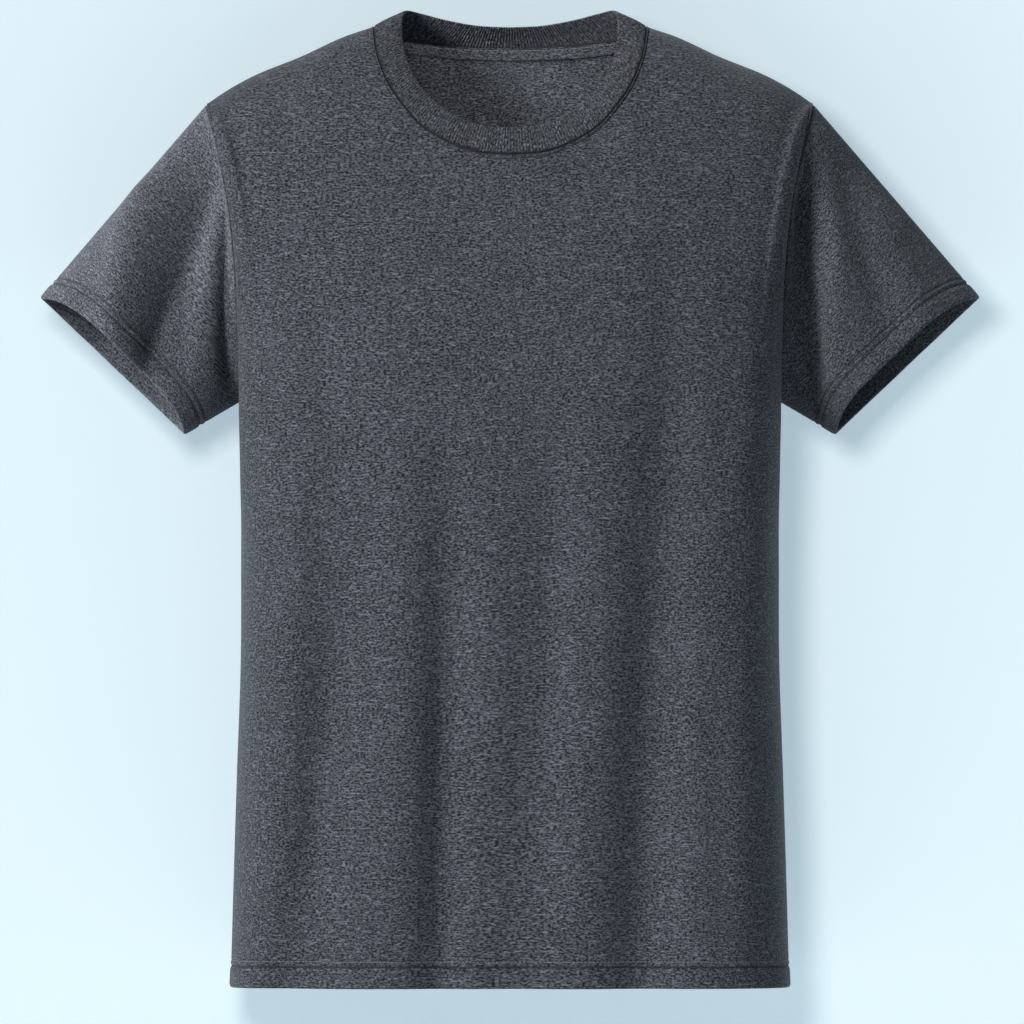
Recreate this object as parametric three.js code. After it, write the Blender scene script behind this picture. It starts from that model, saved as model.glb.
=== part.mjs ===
// A men's M crew neck T-shirt in cotton jersey, filled out as if worn, with no wearer.
// Millimetres, +Z up, the chest toward -Y, the wearer's left toward +X. The origin lies midway
// between the two points where the neck seam meets the shoulder seams: the shoulders carry it.
import * as THREE from "three";

// ---- driving sizes ----
const WALL = 1.4; // one layer of jersey
const HEM_WALL = 2.6; // jersey turned up on itself at the hem and cuffs
const COLLAR_WALL = 1.8; // the doubled rib
const TAPE_WALL = 1.0;
const SEAM_GAP = 0.3; // between two pieces along a seam
const HEM_DEPTH = 20;
const CHEST_Z = -290; // below this the body is a plain tube, above it the panels are shaped
const SHOULDER_POINT_X = 226; // the outer end of the shoulder seam
const NECK_POINT_X = 101.7; // where the neck seam crosses the shoulder seam
const SIDE_SLOPE = 1.6; // how strongly the cloth spreads sideways as it reaches the shoulder
const ARMPIT_SPREAD = 28; // how far forward and back of the side seam the armpit draws it in
const HEM_STEP = 0.005; // level above the hem over which its doubled wall thins to one layer
// Folds fade in from the side seam over flankShare, and out above calmFrom toward the shoulders.
const FOLD_FADE = { foot: 1.6, flankShare: 0.3, calmFrom: 1.5, calmRate: 2 };

const ARMHOLE = { top: -57, bottom: -272, frontReach: 47, backReach: 49, fullness: 0.8 };
const CUFF = {
  centreX: 296.5,
  centreY: -4,
  centreZ: -252,
  chord: 147.8, // across the opening, from the underarm corner to the top
  tilt: THREE.MathUtils.degToRad(43.6), // of that chord above the horizontal
  frontDepth: 45,
  backDepth: 38,
  frontRise: 13, // the front rim is drawn up the arm
};
// lean is how far the collar takes the body's direction at the seam.
const COLLAR = { bow: 1.2, rounding: 0.4, lean: 0.5, spans: 4 };
// The neck tape, from the neck seam up the collar and down the back.
const TAPE = { above: 2.7, below: 6.8, gap: 0.5, lift: 1.6, firstStation: 2 };

// Share of a quarter of the body's girth, from the side seam (0) to the middle (1), from which
// the cloth runs up to the armhole, then to the shoulder seam, then to the neck.
const SHARE = { shoulderPoint: 0.36, neckPoint: 0.62 };

// Facets along each seam, the same on both of the pieces that it joins.
const SPANS = { armhole: 12, shoulder: 5, neck: 9, body: 5, chest: 8 };

// ---- tables ----
const table = (names, rows) =>
  rows.map((row) => Object.fromEntries(names.map((name, i) => [name, row[i]])));

// Level sections of the body. square is the superellipse exponent, and dent is how far the
// side seam is drawn in toward the armpit.
const BODY = table(
  ["z", "half", "front", "back", "square", "dent"],
  [
    [-714, 208.5, 105, 104, 3.7, 0],
    [-692, 207.5, 105, 103.5, 3.7, 0],
    [-640, 206, 105, 103, 3.7, 0],
    [-560, 203.5, 106, 102, 3.7, 0],
    [-470, 200.5, 108, 103, 3.7, 0],
    [-380, 200.5, 111, 107, 3.5, 0.5],
    [-335, 203, 113, 111, 3.3, 5],
    [-290, 206, 114, 114, 3.1, 14],
  ],
);

// The armhole seam from the front: how far out it lies at each height.
const ARMHOLE_X = table(
  ["z", "x"],
  [
    [-272, 190],
    [-262, 195],
    [-240, 200],
    [-205, 203],
    [-175, 204.5],
    [-133, 209],
    [-102, 215],
    [-72, 222],
    [-57, 226],
  ],
);

// The shoulder seam from the front.
const SHOULDER_Z = table(
  ["x", "z"],
  [
    [101.7, 1],
    [125, -7],
    [155, -21],
    [187.5, -34],
    [206, -43.5],
    [218, -51],
    [226, -57],
  ],
);

// The neck seam from the front, and the collar's free edge, from the middle of the front (turn
// -90) past the shoulder seam (turn 0) to the middle of the back (turn 90). edgeIn is how far
// the free edge lies inward of the seam, toward the neck's axis.
const NECK = table(
  ["turn", "seamX", "seamZ", "edgeX", "edgeIn", "edgeZ"],
  [
    [-90, 0, -94.9, 0, 11, -75],
    [-78, 26, -92.9, 20.5, 10.5, -73.3],
    [-66, 47, -85.2, 37.5, 10.5, -67.3],
    [-54, 66, -73.2, 53, 10.5, -57.3],
    [-42, 79.6, -57.8, 65.3, 10, -45],
    [-30, 91, -40.8, 73.8, 8.5, -30.8],
    [-20, 97.9, -23.6, 78.6, 6.5, -16],
    [-10, 100.8, -10, 80.4, 4, -2],
    [0, 101.7, 1, 80.2, 0, 9],
    [20, 98.5, -3.4, 77, 4.5, 13.6],
    [40, 87, -9, 66, 7.5, 11.6],
    [60, 64, -12.8, 47, 10, 6.8],
    [75, 33, -15.2, 24, 12, 2.8],
    [90, 0, -16, 0, 12.5, 1.7],
  ],
);

// How the cloth climbs from the chest to the shoulder line, by share: inward is its pull
// toward that line there, up and start are its climb there and at the chest as multiples of
// the rise. Past the neck point the line runs on unseen at the height guideZ, and the neck
// seam cuts the cloth before it gets there.
const FRONT_RUN = table(
  ["share", "inward", "up", "start", "guideZ"],
  [
    [0, 0, 1, 1, 1],
    [0.1, 8, 1, 1, 1],
    [0.18, 30, 0.9, 1, 1],
    [0.24, 65, 0.7, 1.15, 1],
    [0.3, 125, 0.45, 1.35, 1],
    [0.36, 180, 0, 1.5, 1],
    [0.5, 170, 0, 1.55, 1],
    [0.62, 150, 0.1, 1.55, 1],
    [0.8, 165, 0.25, 1.4, 9],
    [1, 190, 0.42, 1.2, 12],
  ],
);
const BACK_RUN = table(
  ["share", "inward", "up", "start", "guideZ"],
  [
    [0, 0, 1, 1, 1],
    [0.1, 8, 1, 1, 1],
    [0.18, 30, 0.9, 1, 1],
    [0.24, 65, 0.7, 1.15, 1],
    [0.3, 125, 0.45, 1.35, 1],
    [0.36, 185, 0, 1.5, 1],
    [0.5, 180, 0, 1.6, 1],
    [0.62, 160, 0.05, 1.6, 1],
    [0.8, 155, 0.05, 1.55, 16],
    [1, 153, 0.06, 1.5, 25],
  ],
);

// Hanging folds: troughs pressed into a panel, each along a line from x at the hem to x at its
// top, full at the hem and fading out at its top. bow is how far its middle swings sideways.
const FRONT_FOLDS = table(
  ["hemX", "topX", "topZ", "depth", "width", "bow"],
  [
    [-160, -133, -140, 15, 25, 24],
    [-50, -44, -262, 14.5, 19, 3],
    [7, 38, -272, 15.5, 22, -2],
    [99, 127, -170, 17.5, 26, -4],
    [188, 178, -300, 4, 18, 0],
  ],
);
const BACK_FOLDS = table(
  ["hemX", "topX", "topZ", "depth", "width", "bow"],
  [
    [-150, -120, -160, 14, 26, -8],
    [-72, -52, -310, 12, 21, 4],
    [24, 12, -250, 15, 25, 7],
    [112, 96, -180, 14.5, 23, -5],
    [184, 172, -320, 5, 19, 0],
  ],
);

// The sleeve is cut straight from armhole to cuff, swells a little, and has these troughs:
// reach is along the sleeve from the armhole, turn is around it from the underarm.
const SLEEVE = {
  swell: 3,
  levels: [0, 0.1, 0.2, 0.32, 0.45, 0.6, 0.75, 0.87, 0.88, 1],
  hemLevel: 0.88, // from here down to the cuff the jersey is turned up on itself
};
const SLEEVE_FOLDS = table(
  ["turn", "reach", "spread", "width", "depth"],
  [
    [80, 16, 42, 13, 7],
    [270, 18, 42, 14, 6],
    [120, 70, 30, 17, 4],
  ],
);

// ---- mathematics ----
const { clamp, lerp, degToRad } = THREE.MathUtils;
const vec = (x, y, z) => new THREE.Vector3(x, y, z);
const ease = (value) => clamp(value, 0, 1) ** 2 * (3 - 2 * clamp(value, 0, 1));
const bell = (distance, width) => Math.exp(-((distance / width) ** 2));

function hermite(from, to, slopeFrom, slopeTo, t) {
  const rise = t * t * (3 - 2 * t);
  return from + (to - from) * rise + slopeFrom * t * (1 - t) ** 2 - slopeTo * t * t * (1 - t);
}

// A smooth curve through a table's rows, read at one value of its first column.
function read(rows, key, value) {
  const last = rows.length - 1;
  let i = 0;
  while (i < last - 1 && value > rows[i + 1][key]) i += 1;
  const [before, a, b, after] = [i - 1, i, i + 1, i + 2].map((k) => rows[clamp(k, 0, last)]);
  const span = b[key] - a[key];
  const t = clamp((value - a[key]) / span, 0, 1);
  const result = {};
  for (const name of Object.keys(a)) {
    const slopeA = ((b[name] - before[name]) / (b[key] - before[key])) * span;
    const slopeB = ((after[name] - a[name]) / (after[key] - a[key])) * span;
    result[name] = hermite(a[name], b[name], slopeA, slopeB, t);
  }
  return result;
}

// ---- seams, for the wearer's left half: x is positive ----
// side is -1 for the front and 1 for the back.
function armhole(turn, side) {
  const z = lerp(ARMHOLE.bottom, ARMHOLE.top, (1 - Math.cos(turn)) / 2);
  const reach = side < 0 ? ARMHOLE.frontReach : ARMHOLE.backReach;
  const y = side * reach * Math.max(Math.sin(turn), 0) ** ARMHOLE.fullness;
  return vec(read(ARMHOLE_X, "z", z).x, y, z);
}

// The line that a panel's cloth climbs toward: the armhole, the shoulder seam, and past the
// neck point the unseen guide line.
function climbTo(share, side) {
  if (share <= SHARE.shoulderPoint) {
    return armhole((Math.PI * share) / SHARE.shoulderPoint, side);
  }
  if (share <= SHARE.neckPoint) {
    const along = (share - SHARE.shoulderPoint) / (SHARE.neckPoint - SHARE.shoulderPoint);
    const x = lerp(SHOULDER_POINT_X, NECK_POINT_X, along);
    return vec(x, 0, read(SHOULDER_Z, "x", x).z);
  }
  const run = read(side < 0 ? FRONT_RUN : BACK_RUN, "share", share);
  return vec(read(NECK, "turn", neckTurn(share, side)).seamX, 0, run.guideZ);
}

const neckTurn = (share, side) => (side * 90 * (share - SHARE.neckPoint)) / (1 - SHARE.neckPoint);
const neckShare = (turn) => SHARE.neckPoint + (Math.abs(turn) / 90) * (1 - SHARE.neckPoint);

// ---- body ----
function bodyRing(share, z, side) {
  const row = read(BODY, "z", z);
  const angle = (share * Math.PI) / 2;
  const power = 2 / row.square;
  const depth = side < 0 ? row.front : row.back;
  const y = side * depth * Math.sin(angle) ** power;
  const x = row.half * Math.max(Math.cos(angle), 0) ** power - row.dent * bell(y, ARMPIT_SPREAD);
  return vec(x, y, z);
}

// How deep the hanging folds press in at a place.
function foldDepth(folds, x, z) {
  let depth = 0;
  for (const fold of folds) {
    const climb = (z - BODY[0].z) / (fold.topZ - BODY[0].z);
    const swing = fold.bow * Math.sin(Math.PI * clamp(climb, 0, 1));
    const centre = lerp(fold.hemX, fold.topX, climb) + swing;
    depth += fold.depth * bell(x - centre, fold.width) * ease((1 - climb) * FOLD_FADE.foot);
  }
  return depth;
}

// The cloth above the chest: climb runs from 0 at the chest to 1 at the line it climbs toward.
function chestPoint(share, climb, side) {
  const chest = bodyRing(share, CHEST_Z, side);
  const top = climbTo(share, side);
  const run = read(side < 0 ? FRONT_RUN : BACK_RUN, "share", share);
  const rise = top.z - chest.z;
  return vec(
    hermite(chest.x, top.x, 0, SIDE_SLOPE * (top.x - chest.x), climb),
    hermite(chest.y, top.y, 0, -side * run.inward, climb),
    hermite(chest.z, top.z, run.start * rise, run.up * rise, climb),
  );
}

// The climb at which the neck seam, known by its turn, cuts the cloth, found by halving.
const LOWEST_CUT = 0.3;
const HALVINGS = 40;
const neckCuts = new Map();

function neckCut(turn, side) {
  if (!neckCuts.has(turn)) {
    const seamZ = read(NECK, "turn", turn).seamZ;
    let [low, high] = [LOWEST_CUT, 1];
    for (let i = 0; i < HALVINGS; i += 1) {
      const middle = (low + high) / 2;
      if (chestPoint(neckShare(turn), middle, side).z < seamZ) low = middle;
      else high = middle;
    }
    neckCuts.set(turn, (low + high) / 2);
  }
  return neckCuts.get(turn);
}

// A point of a panel: half is 1 for the wearer's left, level runs from 0 at the hem through 1
// at the chest to 2 at the top.
function panelPoint(half, share, level, side) {
  let point;
  if (level <= 1) {
    point = bodyRing(share, lerp(BODY[0].z, CHEST_Z, level), side);
  } else {
    const turn = neckTurn(share, side);
    const cut = share > SHARE.neckPoint ? neckCut(turn, side) : 1;
    point = chestPoint(share, (level - 1) * cut, side);
    if (share > SHARE.neckPoint) {
      const drift = read(NECK, "turn", turn).seamX - chestPoint(share, cut, side).x;
      point.x += drift * (level - 1) ** 2;
    }
  }
  point.x *= half;
  const folds = side < 0 ? FRONT_FOLDS : BACK_FOLDS;
  const calm = 1 - ease((level - FOLD_FADE.calmFrom) * FOLD_FADE.calmRate);
  const flank = ease(share / FOLD_FADE.flankShare);
  point.y -= side * foldDepth(folds, point.x, point.z) * calm * flank;
  return point;
}

function neckSeam(turn) {
  return panelPoint(1, neckShare(turn), 2, turn < 0 ? -1 : 1);
}

function collarEdge(turn) {
  const row = read(NECK, "turn", turn);
  const inward = row.edgeIn * Math.sign(turn);
  return vec(row.edgeX, neckSeam(turn).y - inward, row.edgeZ);
}

const STEP = 1e-3; // for a surface's direction, as a share of its run
const SLOPE_STEP = 2; // for the shoulder seam's slope, in millimetres

function surfaceNormal(pointAt, u, v, bounds) {
  const [uLow, uHigh] = [Math.max(u - STEP, bounds.u[0]), Math.min(u + STEP, bounds.u[1])];
  const [vLow, vHigh] = [Math.max(v - STEP, bounds.v[0]), Math.min(v + STEP, bounds.v[1])];
  const across = pointAt(uHigh, v).sub(pointAt(uLow, v));
  const along = pointAt(u, vHigh).sub(pointAt(u, vLow));
  return across.cross(along).normalize();
}

function panelNormal(half, share, level, side) {
  const bounds = { u: [0, 1], v: [0, 2] };
  const pointAt = (u, v) => panelPoint(half, u, v, side);
  return surfaceNormal(pointAt, share, level, bounds).multiplyScalar(half * side);
}

// ---- sleeves, for the wearer's left ----
// turn runs from the underarm (0) over the front (90 degrees), the top and the back.
function armholeLoop(turn) {
  return turn <= Math.PI ? armhole(turn, -1) : armhole(2 * Math.PI - turn, 1);
}

function cuffPoint(turn) {
  const across = Math.sin(turn);
  const along = (-Math.cos(turn) * CUFF.chord) / 2;
  const depth = across > 0 ? CUFF.frontDepth : CUFF.backDepth;
  const rise = CUFF.frontRise * ease(across);
  return vec(
    CUFF.centreX + along * Math.cos(CUFF.tilt) - rise * Math.sin(CUFF.tilt),
    CUFF.centreY * Math.abs(across) - depth * across,
    CUFF.centreZ + along * Math.sin(CUFF.tilt) + rise * Math.cos(CUFF.tilt),
  );
}

// level runs from 0 at the armhole to 1 at the cuff. The cloth sinks in beside the armhole.
function sleevePoint(turn, level) {
  const from = armholeLoop(turn);
  const to = cuffPoint(turn);
  const point = from.clone().lerp(to, level);
  const middle = armholeLoop(0).lerp(armholeLoop(Math.PI), 0.5).lerp(
    vec(CUFF.centreX, CUFF.centreY, CUFF.centreZ),
    level,
  );
  const across = Math.sin(turn);
  const reach = level * from.distanceTo(to);
  let push = SLEEVE.swell * Math.sin(Math.PI * level) * Math.abs(across);
  for (const fold of SLEEVE_FOLDS) {
    const away = Math.abs(turn - degToRad(fold.turn)) / degToRad(fold.spread);
    push -= fold.depth * bell(reach - fold.reach, fold.width) * bell(away, 1);
  }
  const outward = point.clone().sub(middle);
  const axis = vec(Math.sin(CUFF.tilt), 0, -Math.cos(CUFF.tilt));
  outward.addScaledVector(axis, -outward.dot(axis)).normalize();
  return point.addScaledVector(outward, push);
}

function sleeveNormal(turn, level) {
  const bounds = { u: [-1, 8], v: [0, 1] };
  const wrap = (u) => (u + 2 * Math.PI) % (2 * Math.PI);
  return surfaceNormal((u, v) => sleevePoint(wrap(u), v), turn, level, bounds).negate();
}

// ---- seam frames: the wall of every edge stands on the seam's own bisector ----
function armholeFrame(turn) {
  const side = turn <= Math.PI ? -1 : 1;
  const share = ((side < 0 ? turn : 2 * Math.PI - turn) / Math.PI) * SHARE.shoulderPoint;
  const bodyNormal = panelNormal(1, share, 2, side);
  const normal = bodyNormal.add(sleeveNormal(turn, 0)).normalize();
  const wrap = (u) => (u + 2 * Math.PI) % (2 * Math.PI);
  const along = armholeLoop(wrap(turn + STEP)).sub(armholeLoop(wrap(turn - STEP)));
  const outward = along.cross(normal).normalize();
  if (outward.x < 0) outward.negate();
  return { point: armholeLoop(turn), normal, outward };
}

function collarNormal(turn, level) {
  const around = (u) => neckSeam(u).lerp(collarEdge(u), 0.5);
  const along = around(Math.min(turn + 1, 90)).sub(around(Math.max(turn - 1, -90)));
  const climb = collarEdge(turn).sub(neckSeam(turn));
  const flat = along.cross(climb).normalize();
  if (flat.z < 0) flat.negate();
  const side = turn < 0 ? -1 : 1;
  return flat.lerp(panelNormal(1, neckShare(turn), 2, side), (1 - level) * COLLAR.lean).normalize();
}

// ---- closed walls from grids of points ----
// outer and inner are grids of the same size. A grid that closes on itself wraps its columns.
function wallGeometry(outer, inner, closed) {
  const rows = outer.length;
  const columns = outer[0].length;
  const points = [...outer.flat(), ...inner.flat()];
  const indices = [];
  const at = (layer, row, column) => (layer * rows + row) * columns + (column % columns);
  const quad = (a, b, c, d) => indices.push(a, b, c, a, c, d);
  const spans = closed ? columns : columns - 1;
  for (let row = 0; row < rows - 1; row += 1) {
    for (let column = 0; column < spans; column += 1) {
      const corner = (layer) => [
        at(layer, row, column),
        at(layer, row, column + 1),
        at(layer, row + 1, column + 1),
        at(layer, row + 1, column),
      ];
      quad(...corner(0));
      quad(...corner(1).reverse());
    }
  }
  for (let column = 0; column < spans; column += 1) {
    quad(at(0, 0, column), at(1, 0, column), at(1, 0, column + 1), at(0, 0, column + 1));
    const top = rows - 1;
    quad(at(0, top, column), at(0, top, column + 1), at(1, top, column + 1), at(1, top, column));
  }
  if (!closed) {
    const end = columns - 1;
    for (let row = 0; row < rows - 1; row += 1) {
      quad(at(0, row, 0), at(0, row + 1, 0), at(1, row + 1, 0), at(1, row, 0));
      quad(at(0, row, end), at(1, row, end), at(1, row + 1, end), at(0, row + 1, end));
    }
  }
  const geometry = new THREE.BufferGeometry().setFromPoints(points);
  geometry.setIndex(indices);
  geometry.computeVertexNormals();
  return geometry;
}

const spread = (from, to, parts) =>
  Array.from({ length: parts + 1 }, (_, i) => lerp(from, to, i / parts));

// ---- panels ----
function panelGeometry(side) {
  const halfShares = [
    ...spread(0, SHARE.shoulderPoint, SPANS.armhole),
    ...spread(SHARE.shoulderPoint, SHARE.neckPoint, SPANS.shoulder).slice(1),
    ...spread(SHARE.neckPoint, 1, SPANS.neck).slice(1),
  ];
  const columns = [
    ...halfShares.map((share) => ({ half: 1, share })),
    ...halfShares.slice(0, -1).reverse().map((share) => ({ half: -1, share })),
  ];
  if (side < 0) columns.reverse();
  const foldLevel = HEM_DEPTH / (CHEST_Z - BODY[0].z);
  const levels = [
    0,
    foldLevel,
    ...spread(foldLevel + HEM_STEP, 1, SPANS.body),
    ...spread(1, 2, SPANS.chest).slice(1),
  ];
  const outer = [];
  const inner = [];
  for (const level of levels) {
    const edges = columns.map(({ half, share }) => panelEdge(half, share, level, side));
    const wall = level <= foldLevel ? HEM_WALL : WALL;
    outer.push(edges.map((edge) => edge.point));
    inner.push(edges.map((edge) => edge.point.clone().addScaledVector(edge.normal, -wall)));
  }
  return wallGeometry(outer, inner, false);
}

// A panel's point and wall direction, drawn back half a seam gap where it meets another piece.
function panelEdge(half, share, level, side) {
  const point = panelPoint(half, share, level, side);
  const normal = panelNormal(half, share, level, side);
  const back = SEAM_GAP / 2;
  if (share === 0) {
    normal.set(half, 0, 0);
    point.y += side * back;
  }
  if (level === 2 && share <= SHARE.shoulderPoint) {
    const turn = (Math.PI * share) / SHARE.shoulderPoint;
    const frame = armholeFrame(side < 0 ? turn : (2 * Math.PI - turn) % (2 * Math.PI));
    const mirror = vec(half, 1, 1);
    normal.copy(frame.normal).multiply(mirror);
    point.addScaledVector(frame.outward.multiply(mirror), -back);
  }
  if (level === 2 && share >= SHARE.shoulderPoint && share <= SHARE.neckPoint) {
    const zAt = (offset) => read(SHOULDER_Z, "x", Math.abs(point.x) + offset).z;
    normal.set(half * (zAt(-SLOPE_STEP) - zAt(SLOPE_STEP)), 0, 2 * SLOPE_STEP).normalize();
    point.y += side * back;
  }
  if (level === 2 && share >= SHARE.neckPoint) {
    const turn = neckTurn(share, side);
    const climb = collarEdge(turn).sub(neckSeam(turn)).normalize().multiply(vec(half, 1, 1));
    point.addScaledVector(climb, -back);
    normal.copy(collarNormal(turn, 0)).multiply(vec(half, 1, 1));
  }
  return { point, normal };
}

// ---- sleeves ----
function sleeveGeometry(half) {
  const turns = spread(0, 2 * Math.PI, 2 * SPANS.armhole).slice(0, -1);
  const outer = [];
  const inner = [];
  const mirror = vec(half, 1, 1);
  for (const level of SLEEVE.levels) {
    const wall = level >= SLEEVE.hemLevel ? HEM_WALL : WALL;
    const ring = turns.map((turn) => {
      const point = sleevePoint(turn, level);
      if (level > 0) return { point, normal: sleeveNormal(turn, level) };
      const frame = armholeFrame(turn);
      return { point: point.addScaledVector(frame.outward, SEAM_GAP / 2), normal: frame.normal };
    });
    if (half > 0) ring.reverse();
    outer.push(ring.map((edge) => edge.point.clone().multiply(mirror)));
    inner.push(
      ring.map((edge) => edge.point.clone().addScaledVector(edge.normal, -wall).multiply(mirror)),
    );
  }
  return wallGeometry(outer, inner, true);
}

// ---- collar and neck tape ----
function collarPoint(turn, level, depth) {
  const seam = neckSeam(turn);
  const climb = collarEdge(turn).sub(seam);
  const width = climb.length();
  climb.divideScalar(width);
  const normal = collarNormal(turn, level);
  const bow = COLLAR.bow * Math.sin(Math.PI * level);
  const reach = SEAM_GAP / 2 + (width - SEAM_GAP / 2) * level;
  return seam.addScaledVector(climb, reach).addScaledVector(normal, bow - depth);
}

function collarGeometry() {
  const halfTurns = spread(-90, 90, 2 * SPANS.neck);
  const columns = [
    ...halfTurns.map((turn) => ({ half: 1, turn })),
    ...halfTurns.slice(1, -1).reverse().map((turn) => ({ half: -1, turn })),
  ];
  const layer = (depth) =>
    spread(0, 1, COLLAR.spans).map((level) => {
      const thinning = level === 1 ? COLLAR.rounding : 0;
      const sunk = depth === 0 ? thinning : depth - thinning;
      return columns.map(({ half, turn }) =>
        collarPoint(turn, level, sunk).multiply(vec(half, 1, 1)),
      );
    });
  return wallGeometry(layer(0), layer(COLLAR_WALL), true);
}

// The tape lies inside, over the seam between the collar and the back.
function tapeGeometry() {
  const halfTurns = spread(0, 90, SPANS.neck).slice(TAPE.firstStation);
  const columns = [
    ...halfTurns.map((turn) => ({ half: 1, turn })),
    ...halfTurns.slice(0, -1).reverse().map((turn) => ({ half: -1, turn })),
  ];
  const face = (lift) => {
    const depth = COLLAR_WALL + TAPE.gap + lift;
    const rowAt = (place) =>
      columns.map(({ half, turn }) => place(turn, depth).multiply(vec(half, 1, 1)));
    return [rowAt(tapeOnBack), rowAt((turn, sunk) => collarPoint(turn, 0, sunk)), rowAt(tapeOnCollar)];
  };
  return wallGeometry(face(0), face(TAPE_WALL), false);
}

function tapeOnCollar(turn, depth) {
  return collarPoint(turn, TAPE.above / collarEdge(turn).distanceTo(neckSeam(turn)), depth);
}

// The tape's lower edge clears the flats of the back's facets.
function tapeOnBack(turn, depth) {
  const normal = panelNormal(1, neckShare(turn), 2, 1);
  const along = neckSeam(Math.min(turn + 1, 90)).sub(neckSeam(turn - 1));
  const below = along.cross(normal).normalize();
  if (below.y < 0) below.negate();
  const point = neckSeam(turn).addScaledVector(below, TAPE.below);
  return point.addScaledVector(normal, -depth - TAPE.lift);
}

// ---- the garment ----
function cloth(colour) {
  return new THREE.MeshStandardMaterial({ color: colour, roughness: 0.95, metalness: 0 });
}

const shirt = new THREE.Group();

function addPiece(name, geometry, colour) {
  const mesh = new THREE.Mesh(geometry, cloth(colour));
  mesh.name = name;
  shirt.add(mesh);
}

addPiece("front", panelGeometry(-1), 0x484d54);
addPiece("back", panelGeometry(1), 0x464b52);
addPiece("sleeve_left", sleeveGeometry(1), 0x494e55);
addPiece("sleeve_right", sleeveGeometry(-1), 0x494e55);
addPiece("collar", collarGeometry(), 0x42474e);
addPiece("neck_tape", tapeGeometry(), 0x4c5158);

export default shirt;
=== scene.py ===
import math

import bpy
import numpy as np
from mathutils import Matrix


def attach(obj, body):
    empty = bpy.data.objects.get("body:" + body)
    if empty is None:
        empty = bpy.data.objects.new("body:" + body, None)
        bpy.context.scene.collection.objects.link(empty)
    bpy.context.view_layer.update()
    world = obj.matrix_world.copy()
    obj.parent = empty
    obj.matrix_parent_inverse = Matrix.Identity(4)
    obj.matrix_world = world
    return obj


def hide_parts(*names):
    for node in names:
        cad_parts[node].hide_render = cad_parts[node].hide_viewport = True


# A men's M crew neck T-shirt in charcoal heather jersey. The pattern is worked out in
# millimetres, the same as the frame's, and made a mesh in metres.
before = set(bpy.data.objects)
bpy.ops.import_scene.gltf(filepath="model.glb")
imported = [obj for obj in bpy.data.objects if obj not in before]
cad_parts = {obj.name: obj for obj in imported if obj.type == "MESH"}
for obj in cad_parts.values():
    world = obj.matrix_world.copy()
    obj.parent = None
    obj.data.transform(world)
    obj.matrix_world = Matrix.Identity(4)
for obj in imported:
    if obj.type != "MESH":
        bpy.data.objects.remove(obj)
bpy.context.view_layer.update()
MM = 0.001

# ---- sizes ----
JERSEY = 0.75  # thickness of one layer
RIB = 1.9  # thickness of the doubled rib
HALF_GAP = 0.15  # between two pieces along a seam, on each side
SEAM_ROUND = 1.4  # radius of a seamed edge where it turns in
ALLOWANCE = 5.0
HEM_DEPTH = 20.0
HEM_ROUND = 1.25
HEM_ROWS = (16.0, 20.4)  # the two stitch rows, above the hem's edge
CUFF_ROWS = (14.0, 19.0)
HEM_Z = -714.0
CHEST_Z = -290.0
SHOULDER_X = 226.0
NECK_X = 101.7
SIDE_SLOPE = 1.6
TO_SHOULDER = 0.36  # share of a quarter's girth that runs up to the armhole
TO_NECK = 0.62
WALES = 261
TAPE_CLOTH = 0.7
ARMHOLE_Z, ARMHOLE_RISE = -272.0, 215.0
ARMHOLE_FRONT, ARMHOLE_BACK = 47.0, 49.0
QUARTER_GIRTH = 262.0
SLEEVE_GIRTH = 420.0
ARM_TOPSTITCH = 5.3  # from the armhole seam
NECK_TOPSTITCH = 3.4  # from the neck seam
NECK_ALLOWANCE = 1.2
FIRST_TURN = 1.2  # of an allowance as it leaves the seam
SEAM_BLEND = 4  # over which a panel's normals swing to the seam's
SEAM_PULL = 3  # over which an edge draws back by its half of the gap
RIGHT_NECK = 0.55  # strength of the neck's ridge, and of the painted shade at its topstitching, on the wearer's right
NECK_SHADE_LINE = 3.6  # where the painted shade is darkest along the neck's topstitching
DENT_WIDTH = 28
FOLD_FADE = 1.6  # how fast a hanging fold fades below its top
CREASE_START, CREASE_END, CREASE_LEAST = 3.0, 2.2, 0.4  # how fast a crease's two ends fade
FLANK_CALM = 0.3  # share of a quarter's girth over which folds fade to the side seam
YOKE_CALM = 1.5  # level of a panel where its folds start to fade
COLLAR_BOW = 1.2
COLLAR_WIDTH = 19
RIB_HEIGHT = 0.28

# How finely the cloth is drawn.
PANEL_COLUMNS, PANEL_ROWS, YOKE_ROWS = 88, 86, 68
SLEEVE_COLUMNS, SLEEVE_ROWS = 150, 56
NECK_SAMPLES, TAPE_SAMPLES, POINTS_A_WALE = 1200, 130, 3

# Where each piece's cloth is taken from, in the yarn's own pattern.
SLEEVE_CLOTH_U, LEFT_CLOTH_V, RIGHT_CLOTH_V = 900, 1300, 1900
RIB_CLOTH_V, TAPE_CLOTH_V = 2500, 2900


def table(names, rows):
    return dict(zip(names.split(), np.array(rows, float).T))


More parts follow.
